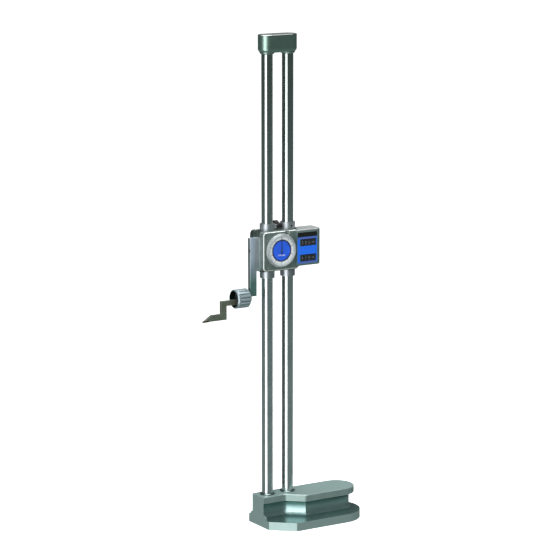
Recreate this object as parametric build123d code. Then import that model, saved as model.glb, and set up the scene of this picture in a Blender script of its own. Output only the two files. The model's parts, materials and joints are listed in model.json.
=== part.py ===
from build123d import *
import os
from math import acos, atan2, cos, degrees, hypot, pi, radians, sin, sqrt, tan

# Dial height gauge on two round columns, in millimetres.
# +Z is up, +X runs from the scriber to the rounded grip end, the dial faces -Y.
# The origin is on the ground underside of the base, midway between the columns.
os.makedirs("parts", exist_ok=True)

# ---- Fits ---------------------------------------------------------------------
running_fit = 0.02        # radial, a column in a guide bush
shaft_fit = 0.03          # radial, a turning shaft in its bearing
loose_fit = 0.10          # radial, a screw or a pin in its hole
side_gap = 0.3            # between faces that pass each other
seat_gap = 0.05           # between faces that are screwed together
cut_spare = 1.0           # how far a cut runs out past the face it opens
hole_end_wall = 1.0       # between a blind hole and the bore beyond it

# ---- Stand --------------------------------------------------------------------
overall_height = 874.0
overall_length = 306.7    # from the scriber's tip to the round end of the foot
column_diameter = 20.0
column_pitch = 42.0
base_height = 55.0
foot_thickness = 15.0
foot_near_y = -70.5       # long edge on the dial side
foot_far_y = 31.0
front_face_x = -41.0
foot_bevel_x = 38.0       # bevelled corner of the foot, along X
foot_bevel_y = 32.5       # and along Y
deck_thickness = 12.0
deck_half_width = 19.0    # of the narrow front part, at the columns
deck_near_y = -45.0
deck_end_inset = 5.0      # of the deck's round end from the foot's
flare_start_x = 3.0
flare_end_x = 34.0
flare_round = 10.0
deck_edge_bevel = 0.8
cove_depth = 9.0          # how far the finger groove runs in under the deck
cove_radius = 6.5         # where the groove meets the foot
cove_top_radius = 8.0     # where it meets the deck
front_web = 3.0           # ground wall that closes the grooves at the front
front_flare = 7.0         # radius where the front wall meets the foot
relief_depth = 0.8        # of the hollow under the base
relief_margin = 14.0
column_seat_height = 40.0
seat_ring_radius = 13.3
seat_ring_height = 2.5
seat_ring_bevel = 1.0
column_screw_radius = 4.0
column_screw_length = 52.0
tapped_hole_spare = 3.0   # of a hole beyond its screw
screw_head_radius = 6.5
screw_head_height = 8.0
screw_recess_depth = 9.0
head_half_length = 37.0
head_half_width = 16.0
head_height = 31.3
head_round = 6.5
head_boss_radius = 13.0
head_boss_height = 2.7
head_boss_bevel = 2.0
head_bore_depth = 24.0
set_screw_radius = 2.5
set_screw_depth = 1.0     # below the face it is screwed into

# ---- Rack and rack pinion -----------------------------------------------------
tooth_pitch = 2.5
pinion_teeth = 16
pressure_angle = 25.0
addendum_factor = 0.8
dedendum_factor = 1.1
rack_backlash = 0.12
rack_width = 6.0
rack_depth = 3.8          # from tooth tips to the back of the bar
rack_recess = 0.2         # of the tips below the column's surface
rack_bottom_gap = 4.0     # above the seat ring
rack_top_gap = 6.0        # below the head
pinion_width = 5.0
pinion_drop = 10.0        # of the pinion's axis below the dial's centre

# ---- Slider -------------------------------------------------------------------
scriber_height = 381.0    # measuring edge above the table, as drawn
dial_above_edge = 117.6
dial_x = -8.4
casting_beyond_front = 17.5  # past the front column's axis
casting_beyond_rear = 13.5   # past the rear column's axis
casting_front = -12.0
casting_back = 13.5
casting_above = 34.2      # above the dial's centre
casting_below = 38.5
casting_round = 3.0
collar_radius = 13.25
collar_above = 45.5
collar_below = 50.5
bush_wall = 1.0
bush_length = 14.0
wiper_height = 2.0
wiper_clearance = 0.15
casting_bore_clearance = 0.6
pinion_pocket_margin = 1.2
pinion_pocket_front = -3.5
ear_reach = 9.5           # of the ear behind the arm, past the casting
ear_above = 35.0
ear_round = 8.0
cover_half = 18.0
cover_thickness = 3.0
cover_boss_radius = 7.0
cover_boss_height = 3.0
cover_round = 4.0
cover_screw_inset = 4.5
cover_screw_engagement = 2.2
small_screw_radius = 1.25
small_head_radius = 2.3
small_head_height = 1.4
slot_half_width = 0.3     # of a screwdriver slot
shaft_radius = 2.5
bearing_wall = 1.5
wheel_radius = 17.0
wheel_width = 10.0
wheel_hub_recess = 3.0
wheel_recess_radius = 10.2
wheel_bevel = 1.2
wheel_flutes = 20
wheel_flute_radius = 1.6

# ---- Dial housing and dial ----------------------------------------------------
housing_overhang = 5.1    # past the casting, on the scriber's side
housing_set_in = 4.3      # from the casting, on the counters' side
housing_above = 33.8
housing_below = 34.8
housing_front = -25.0
housing_round = 6.0
housing_bevel = 1.0
housing_wall = 2.4
cavity_margin = 1.0       # of the hollow from the casting's edge
spigot_radius = 24.5
spigot_height = 1.8
bezel_radius = 29.8       # of the flange against the housing
bezel_flange = 2.6
bezel_rim_radius = 28.4   # in front of the flange
bezel_front = -31.0
bezel_lip = 1.9
bezel_bevel = 0.7
dial_seat_radius = 26.0
dial_thickness = 0.9
crystal_thickness = 1.2
crystal_recess = 0.4
pointer_length = 24.0
pointer_tail = 6.5
pointer_width = 1.3
pointer_tip_width = 0.5
pointer_hub_radius = 1.7
pointer_thickness = 0.5
arbor_radius = 0.75
pointer_gap = 0.5         # between dial and pointer
clamp_notch_angle = 66.0  # of the bezel clamp, seen from the front
clamp_notch_reach = 32.4
clamp_notch_width = 8.0
clamp_notch_depth = 4.0
bezel_screw_radius = 2.1
bezel_screw_height = 2.2
bezel_shank_radius = 1.2

# ---- Gear train ---------------------------------------------------------------
train_module = 0.35
train_backlash = 0.06
first_gear_teeth = 80
idler_pinion_teeth = 12
idler_gear_teeth = 60
centre_pinion_teeth = 10
gear_width = 1.2
gear_face_gap = 0.6
plate_thickness = 1.2
plate_inset = 5.5         # of the pillars from the housing's inner walls
plate_margin = 3.2        # of the plate around its pillars
plate_screw_depth = 1.0   # into the casting's front wall
pillar_radius = 2.2
staff_radius = 0.9

# ---- Measuring arm ------------------------------------------------------------
arm_offset = 19.9         # of its far edge from the casting
arm_width = 13.6
arm_thickness = 7.3
arm_foot_above_edge = 36.7
arm_shoulder_below_dial = 36.6
arm_top_above_dial = 22.4
arm_bevel = 0.5
arm_screw_radius = 2.0
arm_screw_head_radius = 3.3
arm_screw_recess = 4.5
arm_screw_head_height = 3.3
arm_screw_socket = 1.8
dowel_radius = 1.5
dowel_length = 10.0
dowel_spread = 14.0

# ---- Scriber and its clamp ----------------------------------------------------
nut_above_edge = 35.0
nut_radius = 17.0
nut_length = 28.0
nut_gap = 3.0             # between the arm and the nut
nut_recess_radius = 14.5
nut_recess_depth = 9.0
nut_rim = 5.0
nut_arm_bevel = 3.0
nut_rim_bevel = 1.5
nut_flutes = 16
nut_flute_radius = 2.2
nut_flute_depth = 1.2
nut_shoulder = 3.0        # plain end of the nut toward the arm
stub_radius = 11.4
stub_neck = 1.5           # relief behind the stub's thread
stub_length = 19.0
stub_slot_depth = 15.0
collar_pad = 2.6
blade_thickness = 5.8
shank_height = 9.0
shank_above_edge = 25.0
shank_end_gap = 1.0
riser_left = -116.5
riser_width = 11.1
blade_tip = -152.7
blade_height = 11.0
blade_taper = 17.5
tip_length = 11.8
tip_proud = 0.6
tip_height = 3.0
tip_nose = 0.3

# ---- Slider clamp -------------------------------------------------------------
clamp_above_dial = 40.0
clamp_screw_radius = 2.5
clamp_hub_radius = 3.9
clamp_hub_left = -1.0
clamp_hub_right = 6.8
clamp_arm_length = 15.0
clamp_arm_rise = 24.0     # degrees above level
clamp_arm_thickness = 4.2
clamp_shoe_length = 1.7
collar_screw_radius = 1.6
collar_screw_above_dial = 39.5

# ---- Counters -----------------------------------------------------------------
counter_start = 0.9       # past the rear column's axis
counter_width = 51.0
counter_front = -30.0
counter_back = 4.0
counter_above = 34.0
counter_below = 30.5
counter_round = 9.0       # of the grip end's upright front edge
counter_back_round = 4.0
counter_soft_edge = 2.0   # around the top and the underside
counter_wall = 2.0
counter_side_wall = 1.0   # beside the first digit wheels
counter_floor = 1.0       # behind the first digit wheels
panel_margin = 1.1        # on the dial's side
panel_width = 40.3
panel_above = 28.9
panel_below = 26.4
panel_ledge = 1.4         # that the panel rests on
panel_thickness = 1.2
window_margin = 5.0
window_width = 33.8
window_height = 12.6
upper_counter_above = 10.4
counter_spacing = 27.4
digit_wheel_radius = 7.0
digit_wheel_pitch = 6.8
digit_wheel_width = 6.4
first_wheel_margin = 11.8
wheel_window_gap = 0.9
pane_thickness = 0.8
counter_shaft_radius = 1.5
button_radius = 3.0
button_bevel = 0.5
button_proud = 2.6
button_stem = 3.0
button_y = -8.0

# ---- Places worked out from the sizes -----------------------------------------
column_radius = column_diameter / 2
column_x = column_pitch / 2
foot_end_x = blade_tip + overall_length
deck_end_x = foot_end_x - deck_end_inset
dial_z = scriber_height + dial_above_edge
deck_underside = base_height - deck_thickness
head_bottom = overall_height - head_height
head_boss_bottom = head_bottom - head_boss_height
column_top = head_bottom + head_bore_depth
seat_ring_top = base_height + seat_ring_height
rack_module = tooth_pitch / pi
rack_tip_x = column_x - sqrt(column_radius**2 - (rack_width / 2) ** 2) + rack_recess
rack_line_x = rack_tip_x + addendum_factor * rack_module
rack_back_x = rack_tip_x + rack_depth
rack_bottom = seat_ring_top + rack_bottom_gap
rack_top = head_boss_bottom - rack_top_gap
pinion_pitch_radius = pinion_teeth * rack_module / 2
pinion_x = rack_line_x - pinion_pitch_radius
pinion_z = dial_z - pinion_drop
pocket_radius = pinion_pitch_radius + rack_module * addendum_factor + pinion_pocket_margin
bush_radius = column_radius + running_fit + bush_wall
casting_left = -column_x - casting_beyond_front
casting_right = column_x + casting_beyond_rear
ear_left = casting_left - ear_reach
casting_top = dial_z + casting_above
casting_bottom = dial_z - casting_below
collar_top = dial_z + collar_above
collar_bottom = dial_z - collar_below
cover_back = casting_back + cover_thickness
bearing_radius = shaft_radius + shaft_fit + bearing_wall
housing_left = casting_left - housing_overhang
housing_right = casting_right - housing_set_in
housing_top = dial_z + housing_above
housing_bottom = dial_z - housing_below
housing_inner_front = housing_front + housing_wall
cavity_left = casting_left + cavity_margin
first_gear_back = casting_front - gear_face_gap
plate_back = first_gear_back - gear_width - gear_face_gap
plate_front = plate_back - plate_thickness
second_gear_back = plate_front - gear_face_gap
bezel_back = housing_front - side_gap
dial_back = housing_front - spigot_height - side_gap
dial_front = dial_back - dial_thickness
pointer_back = dial_front - pointer_gap
pointer_front = pointer_back - pointer_thickness
crystal_radius = bezel_rim_radius - bezel_lip
crystal_front = bezel_front + crystal_recess
crystal_back = crystal_front + crystal_thickness
arm_foot_z = scriber_height + arm_foot_above_edge
arm_shoulder_z = dial_z - arm_shoulder_below_dial
arm_top_z = dial_z + arm_top_above_dial
arm_left = casting_left - arm_offset
arm_right = arm_left + arm_width
nut_z = scriber_height + nut_above_edge
nut_right = arm_left - nut_gap
nut_left = nut_right - nut_length
stub_left = nut_right - stub_length
shank_bottom = scriber_height + shank_above_edge
shank_right = stub_left + stub_slot_depth - shank_end_gap
clamp_z = dial_z + clamp_above_dial
upper_counter_z = dial_z + upper_counter_above
lower_counter_z = upper_counter_z - counter_spacing
counter_top = dial_z + counter_above
counter_bottom = dial_z - counter_below
counter_left = column_x + counter_start
counter_right = counter_left + counter_width
panel_left = counter_left + panel_margin
panel_right = panel_left + panel_width
panel_top = dial_z + panel_above
panel_bottom = dial_z - panel_below
window_left = panel_left + window_margin
window_right = window_left + window_width
first_wheel_x = panel_left + first_wheel_margin
panel_back = counter_front + panel_thickness
digit_wheel_y = panel_back + wheel_window_gap + digit_wheel_radius
clamp_notch_x = dial_x + clamp_notch_reach * cos(radians(clamp_notch_angle))
clamp_notch_z = dial_z + clamp_notch_reach * sin(radians(clamp_notch_angle))

X_AXIS = (1, 0, 0)
Y_AXIS = (0, 1, 0)
Z_AXIS = (0, 0, 1)
TOWARD_FRONT = (0, -1, 0)
TOWARD_SCRIBER = (-1, 0, 0)


# ---- Small helpers ------------------------------------------------------------
def rod(start, direction, radius, length):
    """A cylinder from a start point along a direction."""
    plane = Plane(origin=start, z_dir=direction)
    return plane * Cylinder(radius, length, align=(Align.CENTER, Align.CENTER, Align.MIN))


def tube(start, direction, outer, inner, length):
    """A plain ring."""
    return rod(start, direction, outer, length) - rod(start, direction, inner, length)


def block(x_span, y_span, z_span):
    """A box between two values on each axis."""
    size = [abs(high - low) for low, high in (x_span, y_span, z_span)]
    middle = [(low + high) / 2 for low, high in (x_span, y_span, z_span)]
    return Pos(*middle) * Box(*size)


def front_plane(x, y, z):
    """A plane across Y whose own x is +X, own y is +Z and own z is -Y."""
    return Plane(origin=(x, y, z), x_dir=X_AXIS, z_dir=TOWARD_FRONT)


def front_slab(sketch, x, y, z, depth):
    """Extrude a sketch drawn in X and Z from y toward the front."""
    return extrude(front_plane(x, y, z) * sketch, amount=depth)


def closed(points):
    """A flat face from its corner points."""
    return make_face(Polyline(*points, close=True))


def write(name, *solids):
    """Write one sub-part, which may be a group of equal solids."""
    shape = solids[0] if len(solids) == 1 else Compound(children=list(solids))
    shape.label = name
    export_step(shape, f"parts/{name}.step")


# ---- Gears and rack -----------------------------------------------------------
def involute(angle):
    return tan(angle) - angle


def gear_face(teeth, module, backlash, turn=0.0):
    """Stub involute gear outline, with a tooth centred on the local x axis."""
    slope = radians(pressure_angle)
    pitch_radius = module * teeth / 2
    base_radius = pitch_radius * cos(slope)
    tip_radius = pitch_radius + addendum_factor * module
    root_radius = pitch_radius - dedendum_factor * module
    half_tooth = pi / (2 * teeth) - backlash / (2 * pitch_radius) + involute(slope)
    flank = [root_radius, tip_radius]
    if root_radius < base_radius:
        flank = [root_radius, base_radius, pitch_radius, tip_radius]
    points = []
    for tooth in range(teeth):
        middle = radians(turn) + 2 * pi * tooth / teeth
        right = []
        for radius in flank:
            roll = acos(min(1.0, base_radius / radius))
            right.append((radius, half_tooth - involute(roll)))
        for radius, angle in right:
            points.append((radius * cos(middle - angle), radius * sin(middle - angle)))
        for radius, angle in reversed(right):
            points.append((radius * cos(middle + angle), radius * sin(middle + angle)))
    return closed(points)


def gear(x, y, z, width, teeth, module, backlash, turn, bore):
    """A gear that turns about Y, from y toward the front."""
    face = gear_face(teeth, module, backlash, turn) - Circle(bore)
    return front_slab(face, x, y, z, width)


def rack_bar():
    """Toothed bar that lies in the slot of the rear column, teeth toward -X."""
    slope = tan(radians(pressure_angle))
    root_x = rack_line_x + dedendum_factor * rack_module
    half_thickness = (tooth_pitch - rack_backlash * 2) / 4
    half_tip = half_thickness - addendum_factor * rack_module * slope
    half_root = half_thickness + dedendum_factor * rack_module * slope
    first = int((rack_bottom - pinion_z) / tooth_pitch) + 1
    last = int((rack_top - pinion_z) / tooth_pitch) - 1
    points = [(rack_back_x, rack_bottom), (root_x, rack_bottom)]
    for number in range(first, last + 1):
        middle = pinion_z + (number + 0.5) * tooth_pitch
        points += [(root_x, middle - half_root), (rack_tip_x, middle - half_tip)]
        points += [(rack_tip_x, middle + half_tip), (root_x, middle + half_root)]
    points += [(root_x, rack_top), (rack_back_x, rack_top)]
    return front_slab(closed(points), 0, rack_width / 2, 0, rack_width)


# ---- Stand --------------------------------------------------------------------
def foot_face():
    """Plan of the foot: one bevelled corner and one round end."""
    end_radius = (foot_far_y - foot_near_y) / 2
    middle_y = (foot_far_y + foot_near_y) / 2
    arc_x = foot_end_x - end_radius
    edge = Polyline(
        (arc_x, foot_far_y),
        (front_face_x, foot_far_y),
        (front_face_x, foot_near_y + foot_bevel_y),
        (front_face_x + foot_bevel_x, foot_near_y),
        (arc_x, foot_near_y),
    )
    round_end = ThreePointArc(
        (arc_x, foot_near_y), (foot_end_x, middle_y), (arc_x, foot_far_y)
    )
    return make_face(edge + round_end)


def deck_face(inset):
    """Plan of the grip deck, or of the wall under it when it is set in."""
    slant = atan2(-deck_half_width - deck_near_y, flare_end_x - flare_start_x)
    shift = inset * tan(slant / 2)
    far_y = deck_half_width - inset
    near_y = deck_near_y + inset
    end_radius = (far_y - near_y) / 2
    arc_x = deck_end_x - inset - end_radius
    edge = Polyline(
        (arc_x, far_y),
        (front_face_x, far_y),
        (front_face_x, inset - deck_half_width),
        (flare_start_x + shift, inset - deck_half_width),
        (flare_end_x + shift, near_y),
        (arc_x, near_y),
    )
    round_end = ThreePointArc(
        (arc_x, near_y), (deck_end_x - inset, (far_y + near_y) / 2), (arc_x, far_y)
    )
    face = make_face(edge + round_end)
    corners = (
        (flare_start_x + shift, inset - deck_half_width, flare_round + inset),
        (flare_end_x + shift, near_y, flare_round - inset),
    )
    for x, y, radius in corners:
        corner = face.vertices().sort_by_distance((x, y))[0]
        face = fillet(corner, radius)
    return face


def front_wall_face():
    """Outline of the front wall in Y and Z, widening into the foot."""
    reach = deck_half_width + front_flare
    half = deck_half_width
    low, high = foot_thickness, foot_thickness + front_flare
    lines = Polyline((half, high), (half, deck_underside), (-half, deck_underside), (-half, high))
    left = RadiusArc((-half, high), (-reach, low), -front_flare)
    bottom = Line((-reach, low), (reach, low))
    right = RadiusArc((reach, low), (half, high), -front_flare)
    return make_face(lines + left + bottom + right)


def groove_edges(body, z):
    """Inner edges of the finger grooves at a height, all round the wall."""
    outline = Pos(0, 0, z) * deck_face(cove_depth).face().outer_wire()
    return [
        edge
        for edge in body.edges().filter_by_position(Axis.Z, z, z)
        if outline.distance_to(edge.position_at(0.5)) < running_fit
        and edge.position_at(0.5).X > front_face_x + running_fit
    ]


def base_casting():
    """Ground cast base with finger grooves under the deck."""
    foot = extrude(foot_face(), amount=foot_thickness)
    wall_height = deck_underside - foot_thickness
    wall = extrude(Pos(0, 0, foot_thickness) * deck_face(cove_depth), amount=wall_height)
    body = foot + wall
    body = fillet(groove_edges(body, foot_thickness), cove_radius)
    deck = extrude(Pos(0, 0, deck_underside) * deck_face(0), amount=deck_thickness)
    deck = chamfer(deck.edges().group_by(Axis.Z)[-1], deck_edge_bevel)
    body = body + deck
    body = fillet(groove_edges(body, deck_underside), cove_top_radius)
    web_plane = Plane(origin=(front_face_x, 0, 0), x_dir=Y_AXIS, z_dir=X_AXIS)
    body = body + extrude(web_plane * front_wall_face(), amount=front_web)
    for x in (-column_x, column_x):
        body -= rod((x, 0, column_seat_height), Z_AXIS, column_radius, base_height)
        body -= rod((x, 0, 0), Z_AXIS, column_screw_radius + loose_fit, base_height)
        body -= rod((x, 0, 0), Z_AXIS, screw_head_radius + loose_fit * 2, screw_recess_depth)
    hollow_left = column_x + screw_head_radius + relief_margin
    hollow_end = foot_end_x - relief_margin
    hollow_length = hollow_end - hollow_left
    hollow_width = foot_far_y - foot_near_y - 2 * relief_margin
    hollow_corner = min(hollow_length, hollow_width) / 2 - side_gap
    hollow_y = (foot_far_y + foot_near_y) / 2
    hollow = Pos((hollow_left + hollow_end) / 2, hollow_y) * RectangleRounded(
        hollow_length, hollow_width, hollow_corner
    )
    return body - extrude(hollow, amount=relief_depth)


def column(x):
    """Hardened ground column, tapped at the foot for its screw."""
    body = rod((x, 0, column_seat_height), Z_AXIS, column_radius, column_top - column_seat_height)
    hole = column_screw_length + screw_recess_depth + tapped_hole_spare
    return body - rod((x, 0, 0), Z_AXIS, column_screw_radius + loose_fit, hole)


def rear_column():
    slot = block(
        (column_x - column_radius - cut_spare, rack_back_x),
        (-rack_width / 2, rack_width / 2),
        (rack_bottom, rack_top),
    )
    return column(column_x) - slot


def column_screw(x):
    """Socket head screw that pulls a column into the base."""
    head_bottom_z = screw_recess_depth - screw_head_height
    head = rod((x, 0, head_bottom_z), Z_AXIS, screw_head_radius, screw_head_height)
    shank = rod((x, 0, screw_recess_depth), Z_AXIS, column_screw_radius, column_screw_length)
    socket = Pos(x, 0, head_bottom_z) * extrude(
        RegularPolygon(screw_head_radius / 2, 6), amount=screw_head_height / 2
    )
    return head + shank - socket


def seat_ring(x):
    ring = tube((x, 0, base_height), Z_AXIS, seat_ring_radius, column_radius, seat_ring_height)
    outer = ring.edges().filter_by(GeomType.CIRCLE).group_by(Axis.Z)[-1].sort_by(SortBy.RADIUS)[-1]
    return chamfer(outer, seat_ring_bevel)


def column_head():
    """Cap that ties the columns together at the top."""
    plan = SlotOverall(2 * head_half_length, 2 * head_half_width)
    body = Pos(0, 0, head_bottom) * extrude(plan, amount=head_height)
    body = fillet(body.edges().group_by(Axis.Z)[0], head_round)
    body = chamfer(body.edges().group_by(Axis.Z)[-1], deck_edge_bevel)
    for x in (-column_x, column_x):
        boss = rod((x, 0, head_boss_bottom), Z_AXIS, head_boss_radius, head_boss_height + head_round)
        body += chamfer(boss.edges().group_by(Axis.Z)[0], head_boss_bevel)
    for x in (-column_x, column_x):
        body -= rod((x, 0, head_boss_bottom), Z_AXIS, column_radius, column_top - head_boss_bottom)
        body -= rod((x, 0, set_screw_z()), Y_AXIS, set_screw_radius, head_half_width)
    return body


def set_screw_z():
    return head_bottom + head_bore_depth / 2


def head_set_screw(x):
    start = (x, column_radius, set_screw_z())
    end_y = head_half_width - set_screw_depth
    body = rod(start, Y_AXIS, set_screw_radius, end_y - column_radius)
    socket = Plane(origin=(x, end_y, set_screw_z()), z_dir=TOWARD_FRONT)
    return body - extrude(socket * RegularPolygon(set_screw_radius / 2, 6), amount=set_screw_radius)


# ---- Slider -------------------------------------------------------------------
def slider_casting():
    """Body that runs on both columns and carries dial, counters and arm."""
    depth = (casting_front, casting_back)
    body = block((casting_left, casting_right), depth, (casting_bottom, casting_top))
    body = fillet(body.edges().filter_by(Axis.Z).group_by(Axis.X)[-1], casting_round)
    ear_height = (casting_bottom, dial_z + ear_above)
    ear = block((ear_left, casting_left), (arm_thickness / 2, casting_back), ear_height)
    top_edge = ear.edges().filter_by(Axis.Y).group_by(Axis.Z)[-1].sort_by(Axis.X)[0]
    body += fillet(top_edge, ear_round)
    for x in (-column_x, column_x):
        body += rod((x, 0, collar_bottom), Z_AXIS, collar_radius, casting_bottom - collar_bottom)
        body += rod((x, 0, casting_top), Z_AXIS, collar_radius, collar_top - casting_top)
    for x in (-column_x, column_x):
        clearance = column_radius + casting_bore_clearance
        body -= rod((x, 0, collar_bottom), Z_AXIS, clearance, collar_top - collar_bottom)
        for z in (collar_bottom, collar_top - bush_length - wiper_height):
            body -= rod((x, 0, z), Z_AXIS, bush_radius, bush_length + wiper_height)
    pocket_depth = casting_back - pinion_pocket_front
    body -= rod((pinion_x, pinion_pocket_front, pinion_z), Y_AXIS, pocket_radius, pocket_depth)
    bearing_depth = pinion_pocket_front - casting_front
    body -= rod((pinion_x, casting_front, pinion_z), Y_AXIS, bearing_radius, bearing_depth)
    body -= clamp_hole()
    collar_hole = (column_x, 0, dial_z + collar_screw_above_dial)
    body -= rod(collar_hole, TOWARD_FRONT, collar_screw_radius, collar_radius + cut_spare)
    body -= rod((casting_left, 0, dial_z), X_AXIS, arm_screw_radius, arm_screw_engagement())
    for z in dowel_heights():
        body -= rod((casting_left, 0, z), X_AXIS, dowel_radius, dowel_length / 2)
    for x, z in cover_screw_places():
        body -= rod((x, casting_back, z), TOWARD_FRONT, small_screw_radius, cover_screw_engagement)
    for x, z in pillar_places():
        body -= rod((x, casting_front, z), Y_AXIS, small_screw_radius, plate_screw_depth)
    return body


def clamp_hole():
    start = (column_radius - column_x, 0, clamp_z)
    return rod(start, X_AXIS, clamp_screw_radius + loose_fit, collar_radius - column_radius + cut_spare)


def arm_screw_engagement():
    bore_edge = -column_x - column_radius - casting_bore_clearance
    return bore_edge - hole_end_wall - casting_left


def dowel_heights():
    return (dial_z - dowel_spread, dial_z + dowel_spread)


def guide_bush(x, z):
    body = tube((x, 0, z), Z_AXIS, bush_radius, column_radius + running_fit, bush_length)
    return body - clamp_hole() if x < 0 and z > dial_z else body


def wiper(x, z):
    inner = column_radius + wiper_clearance
    return tube((x, 0, z), Z_AXIS, bush_radius, inner, wiper_height)


def cover_screw_places():
    offset = cover_half - cover_screw_inset
    return [(pinion_x + a * offset, pinion_z + b * offset) for a in (-1, 1) for b in (-1, 1)]


def rear_cover():
    """Plate over the pinion pocket, with the rear bearing of the feed shaft."""
    plate = RectangleRounded(2 * cover_half, 2 * cover_half, cover_round)
    body = front_slab(plate, pinion_x, cover_back, pinion_z, cover_thickness)
    length = cover_thickness + cover_boss_height
    body += rod((pinion_x, casting_back, pinion_z), Y_AXIS, cover_boss_radius, length)
    body -= rod((pinion_x, casting_back, pinion_z), Y_AXIS, bearing_radius, length)
    for x, z in cover_screw_places():
        body -= rod((x, casting_back, z), Y_AXIS, small_screw_radius, cover_thickness)
    return body


def cover_screw(x, z):
    head = rod((x, cover_back, z), Y_AXIS, small_head_radius, small_head_height)
    shank_length = cover_thickness + cover_screw_engagement
    shank = rod((x, cover_back, z), TOWARD_FRONT, small_screw_radius, shank_length)
    slot = block((x - small_head_radius, x + small_head_radius),
                 (cover_back + small_head_height / 2, cover_back + small_head_height),
                 (z - slot_half_width, z + slot_half_width))
    return head + shank - slot


def feed_bearing(start_y, length):
    inner = shaft_radius + shaft_fit
    return tube((pinion_x, start_y, pinion_z), Y_AXIS, bearing_radius, inner, length)


def feed_shaft():
    front = plate_back + side_gap
    wheel_back = cover_back + cover_boss_height + side_gap + wheel_width
    return rod((pinion_x, front, pinion_z), Y_AXIS, shaft_radius, wheel_back - wheel_hub_recess - front)


def feed_wheel():
    """Fluted hand wheel behind the slider."""
    start = cover_back + cover_boss_height + side_gap
    body = rod((pinion_x, start, pinion_z), Y_AXIS, wheel_radius, wheel_width)
    body = chamfer(body.edges().filter_by(GeomType.CIRCLE), wheel_bevel)
    for number in range(wheel_flutes):
        angle = 2 * pi * number / wheel_flutes
        x = pinion_x + wheel_radius * cos(angle)
        z = pinion_z + wheel_radius * sin(angle)
        body -= rod((x, start, z), Y_AXIS, wheel_flute_radius, wheel_width)
    recess_y = start + wheel_width - wheel_hub_recess
    body -= rod((pinion_x, recess_y, pinion_z), Y_AXIS, wheel_recess_radius, wheel_hub_recess)
    return body - rod((pinion_x, start, pinion_z), Y_AXIS, shaft_radius, wheel_width)


def rack_pinion():
    return gear(pinion_x, pinion_width / 2, pinion_z, pinion_width, pinion_teeth,
                rack_module, rack_backlash, 0, shaft_radius)


# ---- Gear train ---------------------------------------------------------------
def idler_place():
    """Axis of the idler, from its two centre distances."""
    to_feed = train_module * (first_gear_teeth + idler_pinion_teeth) / 2
    to_dial = train_module * (idler_gear_teeth + centre_pinion_teeth) / 2
    across, up = pinion_x - dial_x, pinion_z - dial_z
    span = hypot(across, up)
    along = (to_dial**2 - to_feed**2 + span**2) / (2 * span)
    aside = sqrt(to_dial**2 - along**2)
    x = dial_x + (along * across + aside * up) / span
    z = dial_z + (along * up - aside * across) / span
    return x, z


def bearing_angle(from_x, from_z, to_x, to_z):
    return degrees(atan2(to_z - from_z, to_x - from_x))


def first_gear():
    x, z = idler_place()
    turn = bearing_angle(pinion_x, pinion_z, x, z)
    return gear(pinion_x, first_gear_back, pinion_z, gear_width, first_gear_teeth,
                train_module, train_backlash, turn, shaft_radius)


def idler_pinion():
    """Twelve-leaf pinion cut on its staff."""
    x, z = idler_place()
    turn = bearing_angle(x, z, pinion_x, pinion_z) + 180 / idler_pinion_teeth
    leaves = gear(x, first_gear_back, z, gear_width, idler_pinion_teeth,
                  train_module, train_backlash, turn, staff_radius / 2)
    length = casting_front - side_gap - second_gear_back + gear_width + side_gap
    return leaves + rod((x, casting_front - side_gap, z), TOWARD_FRONT, staff_radius, length)


def idler_gear():
    x, z = idler_place()
    turn = bearing_angle(x, z, dial_x, dial_z)
    return gear(x, second_gear_back, z, gear_width, idler_gear_teeth,
                train_module, train_backlash, turn, staff_radius)


def pointer_arbor():
    """Centre staff with its ten-leaf pinion."""
    x, z = idler_place()
    turn = bearing_angle(dial_x, dial_z, x, z) + 180 / centre_pinion_teeth
    leaves = gear(dial_x, second_gear_back, dial_z, gear_width, centre_pinion_teeth,
                  train_module, train_backlash, turn, arbor_radius / 2)
    return leaves + rod((dial_x, plate_back, dial_z), TOWARD_FRONT, arbor_radius, plate_back - pointer_front)


def pillar_places():
    """Four corners of the train plate."""
    left = cavity_left + plate_inset
    right = housing_right - housing_wall - plate_inset
    low = housing_bottom + housing_wall + plate_inset
    high = housing_top - housing_wall - plate_inset
    return [(x, z) for x in (left, right) for z in (low, high)]


def train_plate():
    """Plate on four pillars that carries the idler and the centre staff."""
    places = pillar_places()
    xs = [x for x, _ in places]
    zs = [z for _, z in places]
    body = block(
        (min(xs) - plate_margin, max(xs) + plate_margin),
        (plate_front, plate_back),
        (min(zs) - plate_margin, max(zs) + plate_margin),
    )
    body = fillet(body.edges().filter_by(Axis.Y), plate_margin / 2)
    for x, z in places:
        body += rod((x, casting_front, z), TOWARD_FRONT, pillar_radius, casting_front - plate_back)
        body -= rod((x, casting_front, z), TOWARD_FRONT, small_screw_radius, casting_front - plate_front)
    x, z = idler_place()
    body -= rod((x, plate_back, z), TOWARD_FRONT, staff_radius + shaft_fit, plate_thickness)
    return body - rod((dial_x, plate_back, dial_z), TOWARD_FRONT, arbor_radius + shaft_fit, plate_thickness)


def plate_screw(x, z):
    head = rod((x, plate_front, z), TOWARD_FRONT, small_head_radius, small_head_height)
    length = casting_front - plate_front + plate_screw_depth - seat_gap
    return head + rod((x, plate_front, z), Y_AXIS, small_screw_radius, length)


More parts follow.
